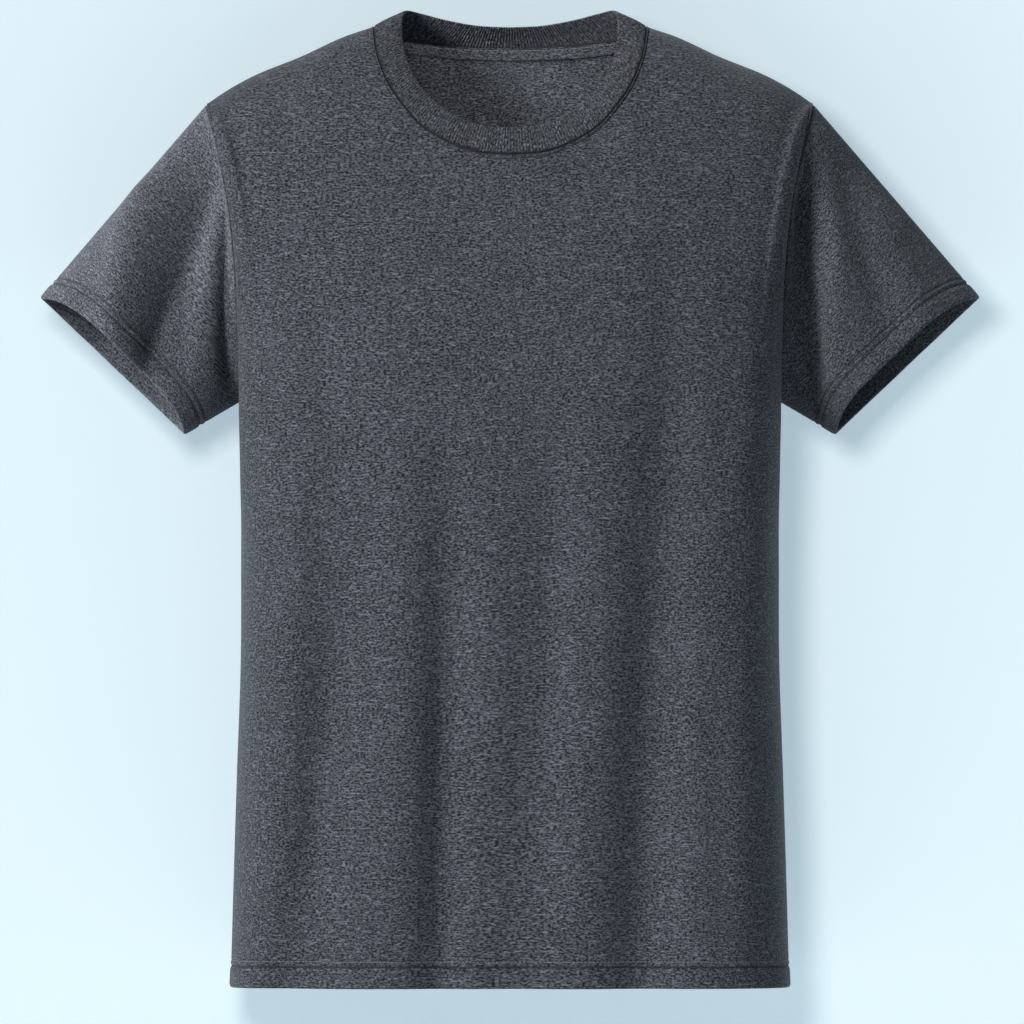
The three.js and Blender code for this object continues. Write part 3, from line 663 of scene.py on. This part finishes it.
def make_sleeve(name, half, material):
    """The wearer's left sleeve (half 1) or right sleeve (half -1), with its stitch rows."""
    near = EDGE / SLEEVE_GIRTH
    middle = np.linspace(near[-1], 1 - near[-1], SLEEVE_COLUMNS)[1:-1]
    turns = np.concatenate([near, middle, 1 - near[::-1]]) * 2 * np.pi
    length = np.linalg.norm(cuff_point(turns) - armhole_loop(turns), axis=-1)
    levels = [1 - row / length for row in np.concatenate([HEM_WRAP[:, 0], HEM_FACE])]
    plain = length - HEM_FACE[-1] - EDGE[-1]
    levels += [1 - (HEM_FACE[-1] + plain * f) / length for f in np.linspace(0, 1, SLEEVE_ROWS)[1:-1]]
    levels += [row / length for row in EDGE[::-1]]
    levels = np.array(levels)
    grid_turn = np.broadcast_to(turns, levels.shape)
    base = sleeve_point(grid_turn, levels, half)
    rows_hem = len(HEM_WRAP)
    centre = sleeve_point(grid_turn, levels).mean(axis=1, keepdims=True)
    outward = base - centre
    normals, _ = grid_normals(base[rows_hem:], outward[rows_hem:])
    normals = np.concatenate([np.repeat(normals[:1], rows_hem, axis=0), normals])
    lid = armhole_lid(turns)
    seam_run = run_length(base[::-1], 0)[::-1]
    side_run = np.minimum(run_length(base, 1), run_length(base[:, ::-1], 1)[:, ::-1])
    blend = ease(seam_run / SEAM_BLEND)[..., None]
    normals = unit(lid + (normals - lid) * blend)
    edge = unit(normals[:, :1] + normals[:, -1:])
    edge_blend = ease(side_run / SEAM_BLEND)[..., None]
    normals = unit(edge + (normals - edge) * edge_blend)
    relief = np.zeros(levels.shape)
    relief[rows_hem:rows_hem + len(HEM_FACE)] += hem_relief(HEM_FACE, CUFF_ROWS)[:, None]
    # painted shade along the cuff's stitch rows and the armhole seam, standing for the shade in their
    # grooves
    groove_shade = hem_groove_shade(levels.shape, rows_hem, HEM_FACE, CUFF_ROWS, 0.65, 0.6)
    groove_shade += bell(seam_run, 1.3)
    groove_shade = np.pad(groove_shade, ((0, 2), (2, 2)), mode="edge")
    pull = HALF_GAP * np.clip(1 - seam_run / SEAM_PULL, 0, 1)
    base = base - unit(np.gradient(base, axis=0)) * pull[..., None]
    away = unit(np.gradient(base, axis=1))
    sign = np.where(np.arange(len(turns)) < len(turns) / 2, 1, -1)[:, None]
    base = base + away * sign * (HALF_GAP * np.clip(1 - side_run / SEAM_PULL, 0, 1))[..., None]
    sink = seam_sink(seam_run) + seam_sink(side_run)
    wrap_depth = np.concatenate([HEM_WRAP[:, 1], np.zeros(len(levels) - rows_hem)])
    outer = base + normals * (relief - sink - wrap_depth[:, None])[..., None]
    extra = [outer[-1] - lid * k for k in TURN_IN[::-1]]
    outer = np.concatenate([outer, np.array(extra)])
    inward = np.concatenate([edge, edge[-1:], edge[-1:]])
    left = [outer[:, :1] - inward * k for k in TURN_IN]
    right = [outer[:, -1:] - inward * k for k in TURN_IN[::-1]]
    outer = np.concatenate([*left, outer, *right], axis=1)

    across = base - (base @ ARM_AXIS)[..., None] * ARM_AXIS
    u = run_length(across, 1)
    u = u - u[:, len(turns) // 2][:, None]
    v = -(base @ ARM_AXIS)
    v[:rows_hem] = -(base[rows_hem] @ ARM_AXIS) - HEM_WRAP[:, :1]
    u = np.pad(u, ((0, 2), (2, 2)), mode="edge") + SLEEVE_CLOTH_U
    v = np.pad(v, ((0, 2), (2, 2)), mode="edge") + (LEFT_CLOTH_V if half > 0 else RIGHT_CLOTH_V)
    mirror = np.array([half, 1, 1])
    outer = outer * mirror
    normals = normals * mirror
    middle = outer.mean(axis=1, keepdims=True)
    _, flip = grid_normals(outer, outer - middle)
    rows, columns = outer.shape[:2]
    uvs = np.stack([u, v], axis=-1).reshape(-1, 2)
    faces = grid_faces(rows, columns, flip)
    piece = make_piece(name, outer.reshape(-1, 3), faces, uvs, material, groove_shade)
    give_thickness(piece)
    return piece, hem_lines(outer, normals, HEM_FACE, CUFF_ROWS)


def around_neck(turns):
    """Turns for the whole neck, from those of the wearer's left half, with the half of each."""
    halves = np.concatenate([np.ones(len(turns)), -np.ones(len(turns) - 2)])
    return np.concatenate([turns, turns[-2:0:-1]]), halves


def make_collar(name, material):
    """The doubled rib, drawn right round its section from the neck seam and back to it."""
    fine = np.linspace(-90, 90, NECK_SAMPLES)
    middle = (neck_seam(fine) + collar_edge(fine)) / 2
    run = np.concatenate([[0], np.cumsum(np.linalg.norm(np.diff(middle, axis=0), axis=1))])
    turns = np.interp(np.linspace(0, run[-1], WALES * POINTS_A_WALE + 1), run, fine)
    turns, half = around_neck(turns)
    seam, edge = neck_seam(turns), collar_edge(turns)
    climb = edge - seam
    width = np.linalg.norm(climb, axis=-1)
    climb = unit(climb)
    bend = RIB / 2
    section = [(0.3, RIB - 0.05), (0.12, 1.4), (0.12, 0.9), (0.35, 0.42), (0.8, 0.12), (1.4, 0)]
    section = [(a, d, 0) for a, d in section]
    section += [(0, 0, f) for f in np.linspace(0.12, 0.9, 8)]
    section += [(-bend + bend * math.sin(a), bend - bend * math.cos(a), 1)
                for a in np.radians([0, 22, 45, 68, 90, 112, 135, 158, 180])]
    section += [(0, RIB, f) for f in (0.8, 0.6, 0.4, 0.2)]
    wale = np.arange(len(turns)) / (2 * POINTS_A_WALE)
    ribs = RIB_HEIGHT * np.cos(2 * np.pi * wale)
    outer = []
    normals = {}
    for reach, depth, fraction in section:
        level = np.clip(fraction + reach / width, 0, 1)
        normal = normals.setdefault(round(fraction, 2), collar_lid(turns, fraction))
        bow = COLLAR_BOW * np.sin(np.pi * level)
        at = seam + climb * (fraction * width + reach)[:, None]
        facing = 1 - 2 * depth / RIB
        rib = ribs * facing * ease((level * width) / 2)
        over = ribs * math.sqrt(max(0, 1 - facing**2)) * (fraction == 1)
        place = at + normal * (bow - depth + rib)[:, None] + climb * over[:, None]
        outer.append(place * point(half, 1, 1))
    outer = np.array(outer)
    rows, columns = outer.shape[:2]
    # painted shade along the collar's seam edge, standing for the shade in the seam's groove
    groove_shade = np.array([bell(fraction * COLLAR_WIDTH + reach, 1.4) for reach, _, fraction in section])
    groove_shade = np.broadcast_to(groove_shade[:, None] * 0.9, (rows, columns))
    closed = np.concatenate([outer, outer[:1]])
    _, flip = grid_normals(closed[5:9], np.broadcast_to(np.array([0, 0, 1.0]), closed[5:9].shape))
    faces = grid_faces(rows, columns, flip, closed=True)
    u = np.broadcast_to(wale * 2.3, (rows, columns))
    across = np.cumsum([0] + [math.hypot(b[0] - a[0] + (b[2] - a[2]) * 20, b[1] - a[1])
                              for a, b in zip(section, section[1:])])
    v = np.broadcast_to(across[:, None] + RIB_CLOTH_V, (rows, columns))
    uvs = np.stack([u, v], axis=-1).reshape(-1, 2)
    return make_piece(name, outer.reshape(-1, 3), faces, uvs, material, groove_shade)


def make_tape(name, material):
    turns = np.linspace(19.5, 90, TAPE_SAMPLES)
    half = np.concatenate([np.ones(len(turns)), -np.ones(len(turns) - 1)])
    turns = np.concatenate([turns, turns[-2::-1]])
    seam, edge = neck_seam(turns), collar_edge(turns)
    climb = unit(edge - seam)
    normal = collar_lid(turns, 0.0)
    share = neck_share(turns)
    across = smooth_panel(np.minimum(share + STEP, 1), 2.0, 1) - smooth_panel(share - STEP, 2.0, 1)
    down_panel = unit(smooth_panel(share, 1.97, 1) - smooth_panel(share, 2.0, 1))
    body = unit(np.cross(across, -down_panel))
    grid = []
    section = [(3.0, 2.75), (2.7, 2.55), (2.0, 2.4), (1.2, 2.45), (0.4, 2.6), (-0.8, 2.7), (-2.2, 2.75),
               (-3.6, 2.7), (-5.0, 2.75), (-6.0, 2.8), (-6.6, 2.95), (-6.9, 3.2)]
    for reach, depth in section:
        if reach >= 0:
            place = seam + climb * reach - normal * depth
        else:
            place = seam - down_panel * reach - unit(normal + (body - normal) * ease(-reach / 3)) * depth
        grid.append(place * point(half, 1, 1))
    grid = np.array(grid)
    _, flip = grid_normals(grid, np.broadcast_to(np.array([0, -1.0, 0]), grid.shape))
    rows, columns = grid.shape[:2]
    u = run_length(grid, 1)
    reaches = np.array([reach for reach, _ in section])[:, None]
    v = TAPE_CLOTH_V - reaches + u * 0
    # painted shade along both edges of the tape, standing for the shadow lines at its edges
    groove_shade = 0.7 * bell(reaches + 6.9, 0.8) + 0.5 * bell(reaches - 2.8, 0.6) + u * 0
    uvs = np.stack([u, v], axis=-1).reshape(-1, 2)
    faces = grid_faces(rows, columns, flip)
    piece = make_piece(name, grid.reshape(-1, 3), faces, uvs, material, groove_shade)
    give_thickness(piece, TAPE_CLOTH)
    inward = unit(-normal * point(half, 1, 1))
    return piece, (grid[2] + inward * JERSEY, inward)


# ---- stitches ----
def set_inputs(node, values):
    for slot, value in values.items():
        node.inputs[slot].default_value = value


def stitch_tree(name, material):
    tree = bpy.data.node_groups.new(name, "GeometryNodeTree")
    face = tree.interface
    face.new_socket("Geometry", in_out="INPUT", socket_type="NodeSocketGeometry")
    for name in ("Pitch", "Length", "Thread"):
        face.new_socket(name, in_out="INPUT", socket_type="NodeSocketFloat")
    face.new_socket("Geometry", in_out="OUTPUT", socket_type="NodeSocketGeometry")
    new, link = tree.nodes.new, tree.links.new
    start, end = new("NodeGroupInput"), new("NodeGroupOutput")
    curve = new("GeometryNodeMeshToCurve")
    even = new("GeometryNodeResampleCurve")
    even.mode = "LENGTH"
    out = new("GeometryNodeInputNamedAttribute")
    out.data_type = "FLOAT_VECTOR"
    set_inputs(out, {"Name": "out"})
    tangent = new("GeometryNodeInputTangent")
    stand = new("FunctionNodeAlignRotationToVector")
    stand.axis = "X"
    turn = new("FunctionNodeAlignRotationToVector")
    turn.axis, turn.pivot_axis = "Z", "X"
    thread = new("GeometryNodeMeshUVSphere")
    set_inputs(thread, {"Segments": 6, "Rings": 4, "Radius": 1})
    size = new("ShaderNodeCombineXYZ")
    place = new("GeometryNodeInstanceOnPoints")
    real = new("GeometryNodeRealizeInstances")
    coat = new("GeometryNodeSetMaterial")
    set_inputs(coat, {"Material": material})
    for source, socket, node, slot in [
        (start, "Geometry", curve, 0), (curve, 0, even, "Curve"), (start, "Pitch", even, "Length"),
        (out, "Attribute", stand, "Vector"), (stand, 0, turn, "Rotation"), (tangent, 0, turn, "Vector"),
        (start, "Thread", size, 0), (start, "Thread", size, 1), (start, "Length", size, 2),
        (even, 0, place, "Points"), (thread, "Mesh", place, "Instance"),
        (turn, 0, place, "Rotation"), (size, 0, place, "Scale"),
        (place, 0, real, 0), (real, 0, coat, 0), (coat, 0, end, 0),
    ]:
        link(source.outputs[socket], node.inputs[slot])
    return tree


def make_stitches(name, lines, tree, pitch=3.0, length=2.5, thread=0.27, lift=0.12):
    verts, edges, outs = [], [], []
    for places, normals in lines:
        start = len(verts)
        verts += ((places + normals * lift) * MM).tolist()
        outs += normals.tolist()
        edges += [(start + i, start + i + 1) for i in range(len(places) - 1)]
    guide_mesh = bpy.data.meshes.new(name)
    guide_mesh.from_pydata(verts, edges, [])
    out = guide_mesh.attributes.new("out", "FLOAT_VECTOR", "POINT")
    out.data.foreach_set("vector", np.array(outs, np.float32).ravel())
    guide = bpy.data.objects.new(name, guide_mesh)
    bpy.context.scene.collection.objects.link(guide)
    rows = guide.modifiers.new("rows", "NODES")
    rows.node_group = tree
    sizes = {"Pitch": pitch, "Length": length / 2, "Thread": thread}
    for item in tree.interface.items_tree:
        if item.in_out == "INPUT" and item.name in sizes:
            rows[item.identifier] = sizes[item.name] * MM
    graph = bpy.context.evaluated_depsgraph_get()
    made = bpy.data.meshes.new_from_object(guide.evaluated_get(graph), depsgraph=graph)
    made.name = name
    guide.modifiers.clear()
    guide.data = made
    made.polygons.foreach_set("use_smooth", [True] * len(made.polygons))
    return guide


# ---- materials ----
def heather_group():
    """Charcoal heather: short flecks and longer pale dashes along the courses, fine loops below."""
    tree = bpy.data.node_groups.new("heather", "ShaderNodeTree")
    face = tree.interface
    for name, kind in [
        ("Dark", "NodeSocketColor"), ("Light", "NodeSocketColor"), ("Fleck Length", "NodeSocketFloat"),
        ("Fleck Width", "NodeSocketFloat"), ("Loop Pitch", "NodeSocketFloat"),
    ]:
        face.new_socket(name, in_out="INPUT", socket_type=kind)
    face.new_socket("Color", in_out="OUTPUT", socket_type="NodeSocketColor")
    for name in ("Height", "Roughness"):
        face.new_socket(name, in_out="OUTPUT", socket_type="NodeSocketFloat")
    new, link = tree.nodes.new, tree.links.new
    start, end = new("NodeGroupInput"), new("NodeGroupOutput")
    coords = new("ShaderNodeUVMap")
    coords.uv_map = "cloth"

    def maths(operation, a, b=None, clamp=False):
        node = new("ShaderNodeMath")
        node.operation = operation
        node.use_clamp = clamp
        for slot, value in zip(node.inputs, (a, b)):
            if value is None:
                continue
            if isinstance(value, (int, float)):
                slot.default_value = value
            else:
                link(value, slot)
        return node.outputs[0]

    split = new("ShaderNodeSeparateXYZ")
    link(coords.outputs[0], split.inputs[0])
    u, v = split.outputs[0], split.outputs[1]

    def flecks(length, width, detail, seed):
        """Noise drawn out along the courses, in grains of this length and width in millimetres."""
        place = new("ShaderNodeCombineXYZ")
        link(maths("DIVIDE", maths("MULTIPLY", u, 1000), length), place.inputs[0])
        link(maths("DIVIDE", maths("MULTIPLY", v, 1000), width), place.inputs[1])
        place.inputs[2].default_value = seed
        noise = new("ShaderNodeTexNoise")
        set_inputs(noise, {"Scale": 1, "Detail": detail, "Roughness": 0.6})
        link(place.outputs[0], noise.inputs["Vector"])
        return noise.outputs["Fac"]

    def steps(value, low, high):
        node = new("ShaderNodeMapRange")
        set_inputs(node, {"From Min": low, "From Max": high})
        link(value, node.inputs["Value"])
        return node.outputs[0]

    fleck_length, fleck_width = start.outputs["Fleck Length"], start.outputs["Fleck Width"]
    short = flecks(fleck_length, fleck_width, 2, 3.1)
    long = flecks(maths("MULTIPLY", fleck_length, 2.4), fleck_width, 1, 11.7)
    broad = flecks(60, 45, 2, 23.9)
    base = steps(short, 0.40, 0.62)
    dashes = steps(long, 0.56, 0.68)
    tone = maths("ADD", maths("MULTIPLY", base, 0.62), maths("MULTIPLY", dashes, 0.45))
    tone = maths("ADD", tone, maths("MULTIPLY", maths("SUBTRACT", broad, 0.5), 0.16), clamp=True)
    # painted shade: darker along seams and rows of stitches, standing for the shade in their grooves
    groove_shade = new("ShaderNodeAttribute")
    groove_shade.attribute_name = "groove_shade"
    tone = maths("MULTIPLY", tone, maths("SUBTRACT", 1, groove_shade.outputs["Fac"]), clamp=True)
    mix = new("ShaderNodeMix")
    mix.data_type = "RGBA"
    link(tone, mix.inputs["Factor"])
    link(start.outputs["Dark"], mix.inputs[6])
    link(start.outputs["Light"], mix.inputs[7])
    # rows of loops
    turns = maths("DIVIDE", maths("MULTIPLY", u, 1000 * 2 * math.pi), start.outputs["Loop Pitch"])
    climb = maths("DIVIDE", maths("MULTIPLY", v, 1000 * 2 * math.pi), start.outputs["Loop Pitch"])
    wale = maths("COSINE", turns)
    lean = maths("ADD", climb, maths("MULTIPLY", wale, 1.4))
    loops = maths("ADD", maths("MULTIPLY", wale, 0.5), maths("MULTIPLY", maths("SINE", lean), 0.3))
    fuzz = flecks(1.3, 0.9, 3, 41.0)
    height = maths("ADD", maths("MULTIPLY", loops, 0.35), fuzz)
    link(mix.outputs[2], end.inputs["Color"])
    link(height, end.inputs["Height"])
    link(maths("SUBTRACT", 0.98, maths("MULTIPLY", tone, 0.12)), end.inputs["Roughness"])
    return tree


HEATHER = heather_group()
LOOP_PITCH = 0.9


def cloth_material(name, dark, light, length, width, bump, distance):
    material = bpy.data.materials.new(name)
    material.use_nodes = True
    tree = material.node_tree
    shader = tree.nodes["Principled BSDF"]
    weave = tree.nodes.new("ShaderNodeGroup")
    weave.node_tree = HEATHER
    for slot, value in zip(weave.inputs, [(*dark, 1), (*light, 1), length, width, LOOP_PITCH]):
        slot.default_value = value
    relief = tree.nodes.new("ShaderNodeBump")
    set_inputs(relief, {"Strength": bump, "Distance": distance * MM})
    link = tree.links.new
    link(weave.outputs["Color"], shader.inputs["Base Color"])
    link(weave.outputs["Roughness"], shader.inputs["Roughness"])
    link(weave.outputs["Height"], relief.inputs["Height"])
    link(relief.outputs["Normal"], shader.inputs["Normal"])
    set_inputs(shader, {"Specular IOR Level": 0.2, "Sheen Weight": 0.12, "Sheen Roughness": 0.5})
    return material


CHARCOAL, ASH = (0.0062, 0.0071, 0.0094), (0.132, 0.141, 0.167)
RIB_CHARCOAL, RIB_ASH = (0.0050, 0.0057, 0.0077), (0.125, 0.132, 0.155)
PALE, INK = (0.19, 0.205, 0.23), (0.03, 0.033, 0.038)
JERSEY_LOOK = cloth_material("heather jersey", CHARCOAL, ASH, 2.1, 1.3, 0.6, 0.35)
RIB_LOOK = cloth_material("heather rib", RIB_CHARCOAL, RIB_ASH, 1.0, 2.0, 0.5, 0.3)
SLEEVE_LOOK = cloth_material("heather sleeve", CHARCOAL, ASH, 1.7, 1.05, 0.6, 0.35)
THREAD_LOOK = cloth_material("thread", PALE, PALE, 3.0, 3.0, 0.3, 0.1)
DARK_THREAD = cloth_material("dark thread", INK, INK, 3.0, 3.0, 0.3, 0.1)

# ---- the garment ----
front, front_hem = make_panel("front_cloth", -1, JERSEY_LOOK)
back, back_hem = make_panel("back_cloth", 1, JERSEY_LOOK)
sleeve_left, left_cuff = make_sleeve("sleeve_left_cloth", 1, SLEEVE_LOOK)
sleeve_right, right_cuff = make_sleeve("sleeve_right_cloth", -1, SLEEVE_LOOK)
collar = make_collar("collar_rib", RIB_LOOK)
tape, tape_line = make_tape("neck_tape_cloth", JERSEY_LOOK)

STITCHES = stitch_tree("pale stitch rows", THREAD_LOOK)
DARK_STITCHES = stitch_tree("dark stitch rows", DARK_THREAD)
LOW_ROW, TOP_ROW = HEM_ROWS
hem_thread = make_stitches("hem_stitches", [front_hem[TOP_ROW], back_hem[TOP_ROW]], STITCHES)
low_thread = make_stitches("hem_low_stitches", [front_hem[LOW_ROW], back_hem[LOW_ROW]], DARK_STITCHES)
left_thread = make_stitches("sleeve_left_stitches", list(left_cuff.values()), DARK_STITCHES)
right_thread = make_stitches("sleeve_right_stitches", list(right_cuff.values()), DARK_STITCHES)
tape_thread = make_stitches("neck_tape_stitches", [tape_line], STITCHES, thread=0.15)

for piece, node, slot in [
    (front, "front", "jersey"), (back, "back", "jersey"),
    (sleeve_left, "sleeve_left", "jersey"), (sleeve_right, "sleeve_right", "jersey"),
    (collar, "collar", "rib"), (tape, "neck_tape", "jersey"),
]:
    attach(piece, "root")
    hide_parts(node)
for piece in (hem_thread, low_thread, left_thread, right_thread, tape_thread):
    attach(piece, "root")


# ---- room, light and camera ----
WALL_Y = 0.135
WALL_TOP = 2.0
CURVE = 0.25  # radius of the sweep between the wall and the floor
CURVE_TOP = -0.95
FLOOR_Z = -1.20
FLOOR_FRONT = -4.0
ROOM_HALF = 4.0


def stage_sweep():
    """A pale wall close behind that sweeps into a floor. From behind it lets the eye through."""
    profile = [(WALL_Y, WALL_TOP), (WALL_Y, WALL_TOP / 2), (WALL_Y, 0.0), (WALL_Y, CURVE_TOP)]
    profile += [(WALL_Y - CURVE * (1 - math.cos(a)), CURVE_TOP - CURVE * math.sin(a))
                for a in np.linspace(0, math.pi / 2, 14)[1:]]
    profile += [(FLOOR_FRONT / 4, FLOOR_Z), (FLOOR_FRONT, FLOOR_Z)]
    verts = [(x, y, z) for y, z in profile for x in (-ROOM_HALF, ROOM_HALF)]
    faces = [(2 * i, 2 * i + 1, 2 * i + 3, 2 * i + 2) for i in range(len(profile) - 1)]
    mesh = bpy.data.meshes.new("sweep")
    mesh.from_pydata(verts, [], faces)
    mesh.polygons.foreach_set("use_smooth", [True] * len(faces))
    sweep = bpy.data.objects.new("sweep", mesh)
    bpy.context.scene.collection.objects.link(sweep)
    material = bpy.data.materials.new("pale sweep")
    material.use_nodes = True
    tree = material.node_tree
    shader = tree.nodes["Principled BSDF"]
    set_inputs(shader, {
        "Base Color": (0.77, 0.82, 0.82, 1), "Roughness": 0.9, "Specular IOR Level": 0.1,
        "Emission Color": (0.70, 0.92, 1.06, 1), "Emission Strength": 0.39,
    })
    seen = tree.nodes.new("ShaderNodeNewGeometry")
    clear = tree.nodes.new("ShaderNodeBsdfTransparent")
    mix = tree.nodes.new("ShaderNodeMixShader")
    link = tree.links.new
    link(seen.outputs["Backfacing"], mix.inputs[0])
    link(shader.outputs[0], mix.inputs[1])
    link(clear.outputs[0], mix.inputs[2])
    link(mix.outputs[0], tree.nodes["Material Output"].inputs["Surface"])
    mesh.materials.append(material)
    if mesh.polygons[0].normal.y > 0:
        mesh.flip_normals()
    return sweep


sweep = stage_sweep()


def soft_light(name, place, aim, size, power, colour=(1, 1, 1), only=None):
    lamp = bpy.data.lights.new(name, "AREA")
    lamp.shape = "DISK"
    lamp.size = size
    lamp.energy = power
    lamp.color = colour
    light = bpy.data.objects.new(name, lamp)
    bpy.context.scene.collection.objects.link(light)
    light.location = place
    away = np.array(place) - np.array(aim)
    light.rotation_euler = (
        math.atan2(math.hypot(away[0], away[1]), away[2]), 0, math.atan2(away[0], -away[1]),
    )
    if only:
        light.light_linking.receiver_collection = only
    return light


def group(name, *pieces):
    collection = bpy.data.collections.new(name)
    for piece in pieces:
        collection.objects.link(piece)
    return collection


shirt_only = group("shirt", front, back, sleeve_left, sleeve_right, collar, tape,
                   hem_thread, low_thread, left_thread, right_thread, tape_thread)
inside_only = group("inside", back, tape, tape_thread)
collar_only = group("neckband", collar)
sleeve_only = group("right sleeve", sleeve_right)
wall_only = group("room", sweep)

MIDDLE = (0.0, 0.0, -0.36)
soft_light("side", (-5.9, -6.0, 2.6), MIDDLE, 3.0, 1020, only=shirt_only)
soft_light("front", (0.5, -5.4, 0.2), MIDDLE, 1.6, 9, only=shirt_only)
soft_light("wall", (-0.42, -4.5, 0.27), MIDDLE, 0.7, 81, only=wall_only)
soft_light("neck", (-0.2, -4.2, 0.4), (0, 0.1, -0.05), 1.6, 135, only=inside_only)
soft_light("collar", (-0.8, -3.6, -2.2), (0, 0, 0), 1.2, 52, only=collar_only)
soft_light("sleeve", (-6.4, -1.5, 2.4), (-0.28, 0, -0.2), 2.0, 560, only=sleeve_only)
soft_light("behind", (3.2, 6.8, 2.4), MIDDLE, 2.4, 500, only=shirt_only)

world = bpy.data.worlds.new("room light")
world.use_nodes = True
set_inputs(world.node_tree.nodes["Background"], {"Color": (0.9, 0.96, 1.0, 1), "Strength": 0.09})
bpy.context.scene.world = world
bpy.context.scene.view_settings.view_transform = "Standard"

FIELD = 0.763  # metres across the view at the shirt
DISTANCE = 16.0
camera_data = bpy.data.cameras.new("camera")
camera_data.sensor_width = 36
camera_data.lens = 36 * DISTANCE / FIELD
camera_data.clip_end = 100
camera = bpy.data.objects.new("camera", camera_data)
bpy.context.scene.collection.objects.link(camera)
camera.location = (0.0015, -DISTANCE, -0.3606)
camera.rotation_euler = (math.pi / 2, 0, 0)
bpy.context.scene.camera = camera
